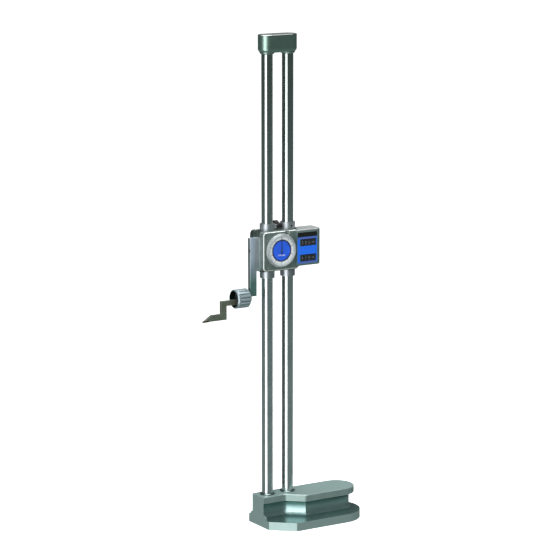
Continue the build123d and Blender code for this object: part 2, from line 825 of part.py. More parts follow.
# ---- Dial housing and dial ----------------------------------------------------
def dial_housing():
    """Front shell with the spigot that the bezel turns on."""
    width = housing_right - housing_left
    height = housing_top - housing_bottom
    middle_x = (housing_left + housing_right) / 2
    middle_z = (housing_top + housing_bottom) / 2
    outline = RectangleRounded(width, height, housing_round)
    body = front_slab(outline, middle_x, casting_front, middle_z, casting_front - housing_front)
    body = chamfer(body.edges().group_by(Axis.Y)[0], housing_bevel)
    body += rod((dial_x, housing_front, dial_z), TOWARD_FRONT, spigot_radius, spigot_height)
    body -= block(
        (cavity_left, housing_right - housing_wall),
        (housing_inner_front, casting_front),
        (housing_bottom + housing_wall, housing_top - housing_wall),
    )
    passage = casting_front - housing_front + spigot_height
    body -= rod((dial_x, casting_front, dial_z), TOWARD_FRONT, arbor_radius + shaft_fit, passage)
    half = clamp_notch_width / 2
    floor_y = housing_front + clamp_notch_depth
    notch = block(
        (clamp_notch_x - half, clamp_notch_x + half),
        (housing_front - spigot_height, floor_y),
        (clamp_notch_z - half, housing_top + spigot_height),
    )
    surround = block(
        (clamp_notch_x - half - housing_wall, clamp_notch_x + half + housing_wall),
        (housing_inner_front - housing_wall / 2, floor_y + housing_wall),
        (clamp_notch_z - half - housing_wall, housing_top - housing_wall / 2),
    )
    body = body + surround - notch
    start = (clamp_notch_x, floor_y + housing_wall, clamp_notch_z)
    return body - rod(start, TOWARD_FRONT, bezel_shank_radius + shaft_fit, 2 * housing_wall)


def bezel_clamp_screw():
    seat = housing_front + clamp_notch_depth - seat_gap
    head = rod((clamp_notch_x, seat, clamp_notch_z), TOWARD_FRONT, bezel_screw_radius, bezel_screw_height)
    shank = rod((clamp_notch_x, seat, clamp_notch_z), Y_AXIS, bezel_shank_radius, housing_wall)
    top = seat - bezel_screw_height
    slot = block(
        (clamp_notch_x - bezel_screw_radius, clamp_notch_x + bezel_screw_radius),
        (top, top + bezel_screw_height / 3),
        (clamp_notch_z - slot_half_width, clamp_notch_z + slot_half_width),
    )
    return head + shank - slot


def bezel_ring():
    """Turning rim that holds the dial and its crystal."""
    rim = rod((dial_x, bezel_back, dial_z), TOWARD_FRONT, bezel_rim_radius, bezel_back - bezel_front)
    rim = chamfer(rim.edges().group_by(Axis.Y)[0], bezel_bevel)
    flange = rod((dial_x, bezel_back, dial_z), TOWARD_FRONT, bezel_radius, bezel_flange)
    body = rim + chamfer(flange.edges().group_by(Axis.Y)[0], bezel_bevel)
    spigot_bore = spigot_radius + shaft_fit
    body -= rod((dial_x, bezel_back, dial_z), TOWARD_FRONT, spigot_bore, bezel_back - dial_back)
    body -= rod((dial_x, dial_back, dial_z), TOWARD_FRONT, dial_seat_radius, dial_back - crystal_back)
    crystal_seat = crystal_back - bezel_front
    return body - rod((dial_x, crystal_back, dial_z), TOWARD_FRONT, crystal_radius, crystal_seat)


def dial_face():
    inner = arbor_radius + side_gap
    return tube((dial_x, dial_back, dial_z), TOWARD_FRONT, dial_seat_radius, inner, dial_thickness)


def dial_crystal():
    return rod((dial_x, crystal_back, dial_z), TOWARD_FRONT, crystal_radius, crystal_thickness)


def pointer():
    """Tapered hand, at zero straight up."""
    blade = closed([
        (-pointer_width / 2, -pointer_tail),
        (pointer_width / 2, -pointer_tail),
        (pointer_tip_width / 2, pointer_length),
        (-pointer_tip_width / 2, pointer_length),
    ])
    face = blade + Circle(pointer_hub_radius) - Circle(arbor_radius)
    return front_slab(face, dial_x, pointer_back, dial_z, pointer_thickness)


# ---- Measuring arm, scriber and nut -------------------------------------------
def measuring_arm():
    """Flat arm with the slotted round stub that the scriber sits in."""
    outline = closed([
        (arm_left, arm_foot_z),
        (arm_right, arm_foot_z),
        (arm_right, arm_shoulder_z),
        (casting_left, arm_shoulder_z),
        (casting_left, arm_top_z),
        (arm_left, arm_top_z),
    ])
    body = front_slab(outline, 0, arm_thickness / 2, 0, arm_thickness)
    body = chamfer(body.edges().filter_by(Axis.Z).group_by(Axis.X)[0], arm_bevel)
    body += rod((arm_left, 0, nut_z), TOWARD_SCRIBER, stub_radius - stub_neck, collar_pad)
    body += rod((arm_left - collar_pad, 0, nut_z), TOWARD_SCRIBER, stub_radius,
                arm_left - collar_pad - stub_left)
    slack = loose_fit / 2
    body -= block(
        (stub_left, stub_left + stub_slot_depth),
        (-blade_thickness / 2 - slack, blade_thickness / 2 + slack),
        (shank_bottom - slack, shank_bottom + shank_height + slack),
    )
    body -= rod((arm_left, 0, dial_z), X_AXIS, arm_screw_head_radius + loose_fit, arm_screw_recess)
    body -= rod((arm_left, 0, dial_z), X_AXIS, arm_screw_radius, casting_left - arm_left)
    for z in dowel_heights():
        body -= rod((casting_left, 0, z), TOWARD_SCRIBER, dowel_radius, dowel_length / 2)
    return body


def arm_screw():
    seat = arm_left + arm_screw_recess
    head = rod((seat, 0, dial_z), TOWARD_SCRIBER, arm_screw_head_radius, arm_screw_head_height)
    length = casting_left - seat + arm_screw_engagement() - side_gap
    shank = rod((seat, 0, dial_z), X_AXIS, arm_screw_radius, length)
    socket = Plane(origin=(seat - arm_screw_head_height, 0, dial_z), z_dir=X_AXIS)
    hexagon = RegularPolygon(arm_screw_socket, 6)
    return head + shank - extrude(socket * hexagon, amount=arm_screw_head_height / 2)


def arm_dowel(z):
    start = (casting_left - dowel_length / 2, 0, z)
    return rod(start, X_AXIS, dowel_radius, dowel_length)


def taper_line_x(z):
    """X of the blade's slanted top at a height above the measuring edge."""
    rise = (blade_height + tip_proud - tip_nose) / blade_taper
    return blade_tip + (z - tip_nose) / rise


def scriber():
    """Offset scriber: shank, riser and blade in one bar."""
    edge = scriber_height
    low = edge + tip_proud
    tip_root = blade_tip + tip_length
    outline = closed([
        (shank_right, shank_bottom),
        (shank_right, shank_bottom + shank_height),
        (riser_left, shank_bottom + shank_height),
        (riser_left, low + blade_height),
        (blade_tip + blade_taper, low + blade_height),
        (taper_line_x(tip_height), edge + tip_height),
        (tip_root, edge + tip_height),
        (tip_root, low),
        (riser_left + riser_width, low),
        (riser_left + riser_width, shank_bottom),
    ])
    return front_slab(outline, 0, blade_thickness / 2, 0, blade_thickness)


def carbide_tip():
    edge = scriber_height
    tip_root = blade_tip + tip_length
    outline = closed([
        (tip_root, edge),
        (tip_root, edge + tip_height),
        (taper_line_x(tip_height), edge + tip_height),
        (blade_tip, edge + tip_nose),
        (blade_tip, edge),
    ])
    return front_slab(outline, 0, blade_thickness / 2, 0, blade_thickness)


def scriber_clamp_nut():
    """Fluted nut that closes the slotted stub on the scriber's shank."""
    body = rod((nut_right, 0, nut_z), TOWARD_SCRIBER, nut_radius, nut_length)
    body = chamfer(body.edges().group_by(Axis.X)[-1], nut_arm_bevel)
    body = chamfer(body.edges().group_by(Axis.X)[0], nut_rim_bevel)
    body -= rod((nut_right, 0, nut_z), TOWARD_SCRIBER, stub_radius + shaft_fit, nut_length)
    body -= rod((nut_left, 0, nut_z), X_AXIS, nut_recess_radius, nut_recess_depth)
    reach = nut_radius - nut_flute_depth + nut_flute_radius
    for number in range(nut_flutes):
        angle = 2 * pi * (number + 0.5) / nut_flutes
        start = (nut_right - nut_shoulder, reach * cos(angle), nut_z + reach * sin(angle))
        body -= rod(start, TOWARD_SCRIBER, nut_flute_radius, nut_length - nut_shoulder - nut_rim)
    return body


# ---- Slider clamp -------------------------------------------------------------
def clamp_shoe():
    start = (column_radius + shaft_fit - column_x, 0, clamp_z)
    return rod(start, X_AXIS, clamp_screw_radius, clamp_shoe_length)


def clamp_screw():
    start_x = column_radius + shaft_fit - column_x + clamp_shoe_length + shaft_fit
    return rod((start_x, 0, clamp_z), X_AXIS, clamp_screw_radius, clamp_hub_left - start_x)


def clamp_lever():
    """Short lever between the collars that locks the slider."""
    hub = rod((clamp_hub_left, 0, clamp_z), X_AXIS, clamp_hub_radius, clamp_hub_right - clamp_hub_left)
    half = clamp_arm_thickness / 2
    arm = block(
        (clamp_hub_left, clamp_hub_right),
        (0, clamp_arm_length),
        (-half, half),
    )
    arm = fillet(arm.edges().filter_by(Axis.X).group_by(Axis.Y)[-1], half - side_gap)
    return hub + Pos(0, 0, clamp_z) * Rot(clamp_arm_rise, 0, 0) * arm


def collar_screw():
    z = dial_z + collar_screw_above_dial
    length = collar_radius - bush_radius - side_gap
    return rod((column_x, -bush_radius, z), TOWARD_FRONT, collar_screw_radius, length)


# ---- Counters -----------------------------------------------------------------
def counter_case():
    """Outside of the counter housing, lapped over the dial housing's edge."""
    rear_left = casting_right + seat_gap
    middle_left = housing_right + seat_gap
    front_back = housing_front - seat_gap
    outline = closed([
        (rear_left, counter_back),
        (rear_left, casting_front - seat_gap),
        (middle_left, casting_front - seat_gap),
        (middle_left, front_back),
        (counter_left, front_back),
        (counter_left, counter_front),
        (counter_right, counter_front),
        (counter_right, counter_back),
    ])
    body = extrude(Pos(0, 0, counter_bottom) * outline, amount=counter_top - counter_bottom)
    uprights = body.edges().filter_by(Axis.Z).group_by(Axis.X)[-1].sort_by(Axis.Y)
    body = fillet(uprights[0], counter_round)
    uprights = body.edges().filter_by(Axis.Z).group_by(Axis.X)[-1].sort_by(Axis.Y)
    body = fillet(uprights[-1], counter_back_round)
    rims = body.edges().group_by(Axis.Z)[-1] + body.edges().group_by(Axis.Z)[0]
    soft = [edge for edge in rims if edge.position_at(0.5).X > casting_right + counter_soft_edge]
    return fillet(soft, counter_soft_edge)


def counter_housing():
    """Case of the two counters, open behind its front panel."""
    divide = casting_front - seat_gap - counter_floor
    body = counter_case()
    body -= block(
        (housing_right + seat_gap + counter_side_wall, panel_right - panel_ledge),
        (counter_front, divide),
        (panel_bottom + panel_ledge, panel_top - panel_ledge),
    )
    body -= block(
        (casting_right + seat_gap + counter_wall, counter_right - counter_wall),
        (divide, counter_back - counter_wall),
        (counter_bottom + counter_wall, counter_top - counter_wall),
    )
    body -= panel_blank()
    hole_radius = button_radius + loose_fit
    for z in (upper_counter_z, lower_counter_z):
        body -= rod((counter_right, button_y, z), TOWARD_SCRIBER, hole_radius, counter_wall)
    return body


def panel_blank():
    return block((panel_left, panel_right), (counter_front, panel_back), (panel_bottom, panel_top))


def window_span(z):
    return (z - window_height / 2, z + window_height / 2)


def counter_window(z):
    pane_front = panel_back - pane_thickness
    return block((window_left, window_right), (pane_front, panel_back), window_span(z))


def counter_panel():
    body = panel_blank()
    for z in (upper_counter_z, lower_counter_z):
        body -= block((window_left, window_right), (counter_front, panel_back), window_span(z))
    return body


def counter_shaft(z):
    start_x = housing_right + seat_gap + counter_side_wall
    length = panel_right - panel_ledge - start_x
    return rod((start_x, digit_wheel_y, z), X_AXIS, counter_shaft_radius, length)


def digit_wheel(place, z):
    middle = first_wheel_x + place * digit_wheel_pitch
    start = (middle - digit_wheel_width / 2, digit_wheel_y, z)
    return tube(start, X_AXIS, digit_wheel_radius, counter_shaft_radius + shaft_fit, digit_wheel_width)


def reset_button(z):
    cap_start = counter_right - counter_wall - button_stem
    body = rod((cap_start, button_y, z), X_AXIS, button_radius, button_stem + counter_wall + button_proud)
    return chamfer(body.edges().group_by(Axis.X)[-1], button_bevel)


# ---- Write every sub-part -----------------------------------------------------
both_columns = (-column_x, column_x)
write("base_casting", base_casting())
write("front_column", column(-column_x))
write("rear_column", rear_column())
write("column_rack", rack_bar())
write("column_head", column_head())
write("column_seat_rings", *[seat_ring(x) for x in both_columns])
write("column_screws", *[column_screw(x) for x in both_columns])
write("head_set_screws", *[head_set_screw(x) for x in both_columns])

write("slider_casting", slider_casting())
bush_places = (collar_bottom + wiper_height, collar_top - bush_length - wiper_height)
wiper_places = (collar_bottom, collar_top - wiper_height)
write("guide_bushes", *[guide_bush(x, z) for x in both_columns for z in bush_places])
write("column_wipers", *[wiper(x, z) for x in both_columns for z in wiper_places])
write("rear_cover", rear_cover())
write("rear_cover_screws", *[cover_screw(x, z) for x, z in cover_screw_places()])
front_bearing = feed_bearing(casting_front, pinion_pocket_front - casting_front)
rear_bearing = feed_bearing(casting_back, cover_thickness + cover_boss_height)
write("feed_bearings", front_bearing, rear_bearing)
write("feed_shaft", feed_shaft())
write("feed_wheel", feed_wheel())
write("rack_pinion", rack_pinion())

write("first_gear", first_gear())
write("idler_pinion", idler_pinion())
write("idler_gear", idler_gear())
write("pointer_arbor", pointer_arbor())
write("train_plate", train_plate())
write("train_plate_screws", *[plate_screw(x, z) for x, z in pillar_places()])

write("dial_housing", dial_housing())
write("bezel_clamp_screw", bezel_clamp_screw())
write("bezel_ring", bezel_ring())
write("dial_face", dial_face())
write("dial_crystal", dial_crystal())
write("pointer", pointer())

write("measuring_arm", measuring_arm())
write("arm_screw", arm_screw())
write("arm_dowels", *[arm_dowel(z) for z in dowel_heights()])
write("scriber", scriber())
write("carbide_tip", carbide_tip())
write("scriber_clamp_nut", scriber_clamp_nut())

write("clamp_shoe", clamp_shoe())
write("clamp_screw", clamp_screw())
write("clamp_lever", clamp_lever())
write("collar_set_screw", collar_screw())

write("counter_housing", counter_housing())
write("counter_panel", counter_panel())
write("counter_windows", counter_window(upper_counter_z), counter_window(lower_counter_z))
write("counter_shafts", counter_shaft(upper_counter_z), counter_shaft(lower_counter_z))
places = {"hundreds": 0, "tens": 1, "units": 2}
for place_name, place in places.items():
    write(f"up_{place_name}_wheel", digit_wheel(place, upper_counter_z))
    write(f"down_{place_name}_wheel", digit_wheel(place, lower_counter_z))
write("up_reset_button", reset_button(upper_counter_z))
write("down_reset_button", reset_button(lower_counter_z))
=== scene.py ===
import bpy
import json
from math import cos, pi, radians, sin
from mathutils import Matrix, Vector


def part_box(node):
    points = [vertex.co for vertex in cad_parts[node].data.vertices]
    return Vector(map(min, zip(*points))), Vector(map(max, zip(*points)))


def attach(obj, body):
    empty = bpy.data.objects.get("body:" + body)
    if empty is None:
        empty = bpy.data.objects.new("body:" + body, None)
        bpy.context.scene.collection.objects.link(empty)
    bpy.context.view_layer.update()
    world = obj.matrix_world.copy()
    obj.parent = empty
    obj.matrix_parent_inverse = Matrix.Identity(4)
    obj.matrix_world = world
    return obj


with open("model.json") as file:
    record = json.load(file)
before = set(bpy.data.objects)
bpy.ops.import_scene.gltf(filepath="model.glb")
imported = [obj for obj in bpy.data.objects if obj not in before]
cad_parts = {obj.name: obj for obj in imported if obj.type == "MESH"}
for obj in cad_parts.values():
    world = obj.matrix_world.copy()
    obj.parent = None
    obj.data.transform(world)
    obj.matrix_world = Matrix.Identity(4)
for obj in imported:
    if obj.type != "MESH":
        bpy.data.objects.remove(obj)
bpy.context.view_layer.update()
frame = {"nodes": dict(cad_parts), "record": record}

# Finishes for the gauge's solids, the printed marks of its dial and counters, and a
# studio around it.
cad = frame["nodes"]
MM = 0.001
X, Y, Z = 0, 1, 2


# ---- Where things are on the gauge, in metres ------------------------------------
def span(node, axis):
    low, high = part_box(node)
    return low[axis], high[axis]


def middle(node, axis):
    return sum(span(node, axis)) / 2


DIAL_X, DIAL_Z = middle("dial_face", X), middle("dial_face", Z)
DIAL_FRONT = span("dial_face", Y)[0]
BEZEL_GAP = 0.3 * MM          # between the bezel's back and the dial's housing
HOUSING_FRONT = span("bezel_ring", Y)[1] + BEZEL_GAP
PRINT = 0.06 * MM             # thickness of a printed mark

PLACES = ("hundreds", "tens", "units")
COUNTERS = {c: middle(f"{c}_units_wheel", Z) for c in ("up", "down")}
WHEEL_X = {place: middle(f"up_{place}_wheel", X) for place in PLACES}
WHEEL_Y = middle("up_units_wheel", Y)
WHEEL_RADIUS = WHEEL_Y - span("up_units_wheel", Y)[0]
PANE_X, PANE_Z = span("counter_windows", X), span("counter_windows", Z)
PANE_HIGH = PANE_Z[1] - PANE_Z[0] - (COUNTERS["up"] - COUNTERS["down"])
MASK_GAP = 0.2 * MM           # between a pane and the mask behind it
MASK_Y = span("counter_windows", Y)[1] + MASK_GAP
STRIP_HIGH = 3.8 * MM         # of the violet strip above the upper window

BASE_FRONT = span("base_casting", X)[0]
BASE_TOP = span("base_casting", Z)[1]
GROOVE = (15 * MM, 43 * MM)   # from the foot's top to the deck's underside
ARM_REACH = 19.9 * MM         # from the casting to the far side of the arm

STROKES = 100                 # around the dial
STROKE_END = 25.4 * MM        # radius that every stroke reaches
STROKE_SIZES = {              # length and width of each tenth, fifth and other stroke
    10: (3.4 * MM, 0.34 * MM),
    5: (2.6 * MM, 0.22 * MM),
    1: (1.9 * MM, 0.15 * MM),
}
DIAL_FIGURE_RING = 20.6 * MM
DIAL_FIGURE_HIGH = 2.0 * MM
RIM_RADIUS, FIELD_RADIUS = 19.6 * MM, 17.2 * MM
LEGEND_DROP, LEGEND_HIGH, LEGEND_BOLD = 8.0 * MM, 2.7 * MM, 0.12 * MM

WHEEL_DIGITS = 10
WHEEL_FIGURE_HIGH, WHEEL_FIGURE_DEEP = 3.3 * MM, 0.3 * MM
MASK_DEEP = 0.24 * MM
OPENING_WIDE, OPENING_HIGH = 5.4 * MM, 8.0 * MM
UNIT_OFFSET = 7.4 * MM        # from the units wheel to the unit beside it
UNIT_HIGH, UNIT_DEEP, UNIT_RISE = 2.4 * MM, 0.04 * MM, 0.13 * MM
FIGURE_BOLD = 0.04 * MM


# ---- Objects ---------------------------------------------------------------------
def pick(*pieces):
    """Select these objects alone, with the first one active."""
    bpy.ops.object.select_all(action="DESELECT")
    for piece in pieces:
        piece.select_set(True)
    if pieces:
        bpy.context.view_layer.objects.active = pieces[0]


def placed():
    """The active object, with its place put into its mesh."""
    bpy.ops.object.transform_apply(location=True, rotation=True, scale=True)
    return bpy.context.object


def settle(piece, name, body, finish):
    """Name a finished piece, give it its finish and hang it on its body."""
    piece.name = name
    piece.data.materials.clear()
    piece.data.materials.append(finish)
    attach(piece, body)


def joined(parts):
    """One object out of several."""
    pick(*parts)
    bpy.ops.object.join()
    return parts[0]


def tile(x, y, z, wide, deep, high):
    """A small slab with its middle at a place."""
    pick()
    bpy.ops.mesh.primitive_cube_add(size=1, location=(x, y, z), scale=(wide, deep, high))
    return placed()


def disc(x, y, z, radius, deep):
    """A round plate that faces the dial side."""
    pick()
    bpy.ops.mesh.primitive_cylinder_add(
        vertices=96, radius=radius, depth=deep, location=(x, y, z),
        rotation=(pi / 2, 0, 0))
    return placed()


def lettering(text, x, y, z, high, deep, bold=0.0):
    """Upright figures that face the dial side."""
    size_per_height = 1.38
    pick()
    bpy.ops.object.text_add(location=(x, y, z), rotation=(pi / 2, 0, 0))
    words = bpy.context.object
    words.data.body = text
    words.data.size = high * size_per_height
    words.data.align_x = "CENTER"
    words.data.align_y = "CENTER"
    words.data.extrude = deep / 2
    words.data.offset = bold
    words.data.resolution_u = 3
    pick(words)
    bpy.ops.object.convert(target="MESH")
    return placed()


def turned_about(piece, centre, angle, axis):
    """Turn a piece's mesh about a line through a centre."""
    there = Matrix.Translation(centre)
    piece.data.transform(there @ Matrix.Rotation(angle, 4, axis) @ there.inverted())
    return piece


# ---- Finishes --------------------------------------------------------------------
# Lengths are in metres. A colour is linear red, green and blue.
ALONG_X = (50 * MM, 0.5 * MM, 0.5 * MM)
ALONG_Y = (0.5 * MM, 50 * MM, 0.5 * MM)
ALONG_Z = (0.5 * MM, 0.5 * MM, 50 * MM)
ABOUT_Y, ABOUT_Z = (pi / 2, 0, 0), (0, 0, 0)


class Finish:
    """A material that is built up from patterns on the piece's own place."""

    def __init__(self, name, rough=0.5, metallic=0.0):
        self.material = bpy.data.materials.new(name)
        self.material.use_nodes = True
        self.tree = self.material.node_tree
        self.shader = self.tree.nodes["Principled BSDF"]
        self.shader.inputs["Roughness"].default_value = rough
        self.shader.inputs["Metallic"].default_value = metallic
        self.relief = None
        self.place = self.tree.nodes.new("ShaderNodeTexCoord").outputs["Object"]

    def link(self, output, socket):
        self.tree.links.new(output, socket)
        return self

    def mapped(self, centre=(0, 0, 0), stretch=(1, 1, 1), turn=(0, 0, 0)):
        """The piece's own place, seen from a centre, stretched and turned."""
        node = self.tree.nodes.new("ShaderNodeMapping")
        node.vector_type = "TEXTURE"
        node.inputs["Location"].default_value = centre
        node.inputs["Rotation"].default_value = turn
        node.inputs["Scale"].default_value = stretch
        self.link(self.place, node.inputs["Vector"])
        return node.outputs["Vector"]

    def noise(self, size, detail=3.0, vector=None):
        """Cloudy noise, its largest clouds about as wide as the size."""
        node = self.tree.nodes.new("ShaderNodeTexNoise")
        node.inputs["Scale"].default_value = 1 / size
        node.inputs["Detail"].default_value = detail
        node.inputs["Roughness"].default_value = 0.55
        self.link(vector or self.place, node.inputs["Vector"])
        return node.outputs["Fac"]

    def patches(self, size):
        """Soft clouds of about a size."""
        return self.fit(self.noise(size, 4), 0.3, 0.7)

    def grain(self, stretch):
        """Noise with its own size along each axis."""
        return self.noise(1.0, 3, self.mapped(stretch=stretch))

    def grit(self, size):
        return self.grain((size, size, size))

    def math(self, operation, first, second=None):
        node = self.tree.nodes.new("ShaderNodeMath")
        node.operation = operation
        for socket, value in zip(node.inputs, (first, second)):
            if value is None:
                continue
            if isinstance(value, (int, float)):
                socket.default_value = value
            else:
                self.link(value, socket)
        return node.outputs[0]

    def both(self, first, second):
        """Where two masks are high together."""
        return self.math("MULTIPLY", first, second)

    def reach(self, first, second):
        """Distance from a line, out of the offsets along two axes."""
        return self.math("SQRT", self.math("ADD", self.both(first, first),
                                           self.both(second, second)))

    def fit(self, value, low, high, out_low=0.0, out_high=1.0):
        """A value that runs from out_low at low to out_high at high."""
        node = self.tree.nodes.new("ShaderNodeMapRange")
        self.link(value, node.inputs["Value"])
        for name, number in (("From Min", low), ("From Max", high),
                             ("To Min", out_low), ("To Max", out_high)):
            node.inputs[name].default_value = number
        return node.outputs["Result"]

    def mix(self, share, first, second):
        """From the first colour at a share of 0 to the second at 1."""
        node = self.tree.nodes.new("ShaderNodeMix")
        node.data_type = "RGBA"
        if isinstance(share, (int, float)):
            node.inputs["Factor"].default_value = share
        else:
            self.link(share, node.inputs["Factor"])
        for socket, value in zip((node.inputs[6], node.inputs[7]), (first, second)):
            if isinstance(value, tuple):
                socket.default_value = (*value, 1)
            else:
                self.link(value, socket)
        return node.outputs[2]

    def axis(self, name):
        node = self.tree.nodes.new("ShaderNodeSeparateXYZ")
        self.link(self.place, node.inputs["Vector"])
        return node.outputs[name]

    def edges(self, radius):
        """High along outside edges; the finishes use it to paint edge wear and painted edge
        highlights.
        """
        flat_cosine, corner_cosine = 0.985, 0.86
        bevel = self.tree.nodes.new("ShaderNodeBevel")
        bevel.samples = 6
        bevel.inputs["Radius"].default_value = radius
        face = self.tree.nodes.new("ShaderNodeNewGeometry")
        dot = self.tree.nodes.new("ShaderNodeVectorMath")
        dot.operation = "DOT_PRODUCT"
        self.link(bevel.outputs["Normal"], dot.inputs[0])
        self.link(face.outputs["True Normal"], dot.inputs[1])
        return self.fit(dot.outputs["Value"], flat_cosine, corner_cosine)

    def emboss(self, pattern, depth):
        """Relief of a depth, laid over any relief before it."""
        node = self.tree.nodes.new("ShaderNodeBump")
        node.inputs["Strength"].default_value = 1.0
        node.inputs["Distance"].default_value = depth
        self.link(pattern, node.inputs["Height"])
        if self.relief is not None:
            self.link(self.relief, node.inputs["Normal"])
        self.relief = node.outputs["Normal"]
        return self.link(self.relief, self.shader.inputs["Normal"])

    def colour(self, output):
        return self.link(output, self.shader.inputs["Base Color"])

    def roughness(self, output):
        return self.link(output, self.shader.inputs["Roughness"])

    def metallic(self, output):
        return self.link(output, self.shader.inputs["Metallic"])


def worked_metal(name, tone, shade, rough, spread, grain, depth, patch=20 * MM,
                 edge_tone=None, edge_width=0.6 * MM, metallic=1.0):
    """Metal with tool grain, soft patches of tone and edges brightened, partly for wear and
    partly as a painted highlight.
    """
    finish = Finish(name, rough, metallic)
    patches = finish.patches(patch)
    colour = finish.mix(patches, shade, tone)
    if edge_tone:
        # painted edge highlight, partly wear: lighter and less metallic along the edges
        wear_and_highlight = finish.edges(edge_width)
        colour = finish.mix(wear_and_highlight, colour, edge_tone)
        finish.metallic(finish.fit(wear_and_highlight, 0, 1, metallic, metallic * 0.4))
    finish.colour(colour)
    lines = finish.grain(grain)
    finish.roughness(finish.fit(finish.math("ADD", lines, patches), 0.3, 1.7,
                                rough - spread, rough + spread))
    return finish.emboss(lines, depth)


def turned_metal(name, tone, shade, rough, centre, turn, metallic=1.0, edge_tone=None):
    """Metal turned on a lathe, with fine rings about its own axis and, given an edge tone, a
    painted highlight along its edges.
    """
    pitch = 0.6 * MM
    finish = Finish(name, rough, metallic)
    wave = finish.tree.nodes.new("ShaderNodeTexWave")
    wave.wave_type = "RINGS"
    wave.rings_direction = "Z"
    wave.inputs["Scale"].default_value = 0.05 / pitch
    wave.inputs["Distortion"].default_value = 1.2
    wave.inputs["Detail"].default_value = 2.0
    finish.link(finish.mapped(centre, turn=turn), wave.inputs["Vector"])
    patches = finish.fit(finish.noise(8 * MM, 4), 0.35, 0.65)
    colour = finish.mix(patches, shade, tone)
    if edge_tone:
        # painted highlight along the edges
        colour = finish.mix(finish.edges(0.9 * MM), colour, edge_tone)
    finish.colour(colour)
    finish.roughness(finish.fit(patches, 0, 1, rough - 0.05, rough + 0.05))
    return finish.emboss(wave.outputs["Fac"], 0.01 * MM)


def moulded(name, tone, rough=0.45, pebble_size=0.8 * MM, depth=0.04 * MM):
    """Moulded plastic, lacquer, felt or print with a fine pebble."""
    finish = Finish(name, rough)
    pebble = finish.noise(pebble_size, 2)
    lighter = tuple(min(1.0, c * 1.35 + 0.01) for c in tone)
    finish.colour(finish.mix(finish.fit(finish.noise(10 * MM, 3), 0.3, 0.7), tone, lighter))
    finish.roughness(finish.fit(pebble, 0.3, 0.7, rough - 0.08, rough + 0.08))
    return finish.emboss(pebble, depth)


def printed(name, tone, rough=0.4, pebble_size=0.3 * MM, depth=0.005 * MM):
    return moulded(name, tone, rough, pebble_size, depth).material


def chromed():
    """Hard chrome on the columns: bright, with faint grinding rings, smudges and painted
    shade that darkens it toward the top.
    """
    finish = Finish("hard_chrome", 0.08, 1.0)
    rings = finish.noise(1.0, 2, finish.mapped(stretch=(20 * MM, 20 * MM, 1.2 * MM)))
    smudge = finish.fit(finish.noise(35 * MM, 4), 0.4, 0.7)
    low, high = span("front_column", Z)
    # painted shade: the chrome is darker toward the top of the columns
    up = finish.fit(finish.axis("Z"), (low + high) / 2, high)
    clean = finish.mix(up, (0.77, 0.82, 0.82), (0.53, 0.59, 0.56))
    dull = finish.mix(up, (0.67, 0.72, 0.72), (0.46, 0.52, 0.49))
    finish.colour(finish.mix(smudge, clean, dull))
    finish.roughness(finish.fit(smudge, 0, 1, 0.07, 0.13))
    return finish.emboss(rings, 0.002 * MM)


def ground_iron():
    """Ground base: satin outside, smoother and hollowed in the finger grooves, with painted
    light, painted highlights and painted shade.
    """
    outside_metallic, groove_metallic = 0.5, 0.92
    outside_rough, groove_rough = 0.38, 0.34
    groove_hollow = 3 * MM        # relief across the wall of a groove
    finish = Finish("ground_iron", outside_rough, outside_metallic)
    up, along = finish.axis("Z"), finish.axis("X")
    foot_top, deck_underside = GROOVE
    patches = finish.patches(30 * MM)

    behind_front = finish.fit(along, BASE_FRONT + 0.05 * MM, BASE_FRONT + 0.1 * MM)
    painted_light_on_foot = finish.fit(up, foot_top + 0.2 * MM, foot_top - 0.1 * MM)
    painted_light_on_deck = finish.fit(up, BASE_TOP - 0.3 * MM, BASE_TOP - 0.1 * MM)
    sides = finish.mix(patches, (0.28, 0.38, 0.36), (0.34, 0.45, 0.43))
    # Painted light: the foot's sides, the deck's top and the front face are made lighter
    # than the other sides.
    sides = finish.mix(painted_light_on_foot, sides, (0.38, 0.51, 0.49))
    sides = finish.mix(painted_light_on_deck, sides, (0.38, 0.52, 0.50))
    outside = finish.mix(behind_front, (0.42, 0.56, 0.54), sides)
    # painted highlight along the base's edges
    outside = finish.mix(finish.edges(1.2 * MM), outside, (0.66, 0.80, 0.82))

    # Painted shade in the grooves: darker under the deck and on the foot's top at the
    # groove's root.
    painted_shade_under_deck = finish.fit(up, deck_underside - 13 * MM, deck_underside - 2 * MM)
    painted_shade_at_foot = finish.fit(up, foot_top + 1.2 * MM, foot_top + 0.2 * MM)
    groove = finish.mix(patches, (0.46, 0.64, 0.63), (0.52, 0.70, 0.69))
    groove = finish.mix(painted_shade_under_deck, groove, (0.14, 0.27, 0.23))
    groove = finish.mix(painted_shade_at_foot, groove, (0.22, 0.36, 0.35))

    above_foot = finish.fit(up, foot_top - 0.1 * MM, foot_top)
    below_deck = finish.fit(up, deck_underside + 0.1 * MM, deck_underside)
    inside = finish.both(finish.both(above_foot, below_deck), behind_front)
    finish.colour(finish.mix(inside, outside, groove))
    finish.metallic(finish.fit(inside, 0, 1, outside_metallic, groove_metallic))
    lines = finish.grain(ALONG_X)
    uneven = finish.fit(finish.math("ADD", lines, patches), 0.3, 1.7, -0.04, 0.04)
    finish.roughness(finish.math("ADD", uneven,
                                 finish.fit(inside, 0, 1, outside_rough, groove_rough)))
    across_groove = finish.fit(up, foot_top, deck_underside, -1, 1)
    hollow = finish.both(across_groove, across_groove)
    finish.emboss(finish.mix(behind_front, (1, 1, 1), hollow), groove_hollow)
    return finish.emboss(lines, 0.006 * MM)


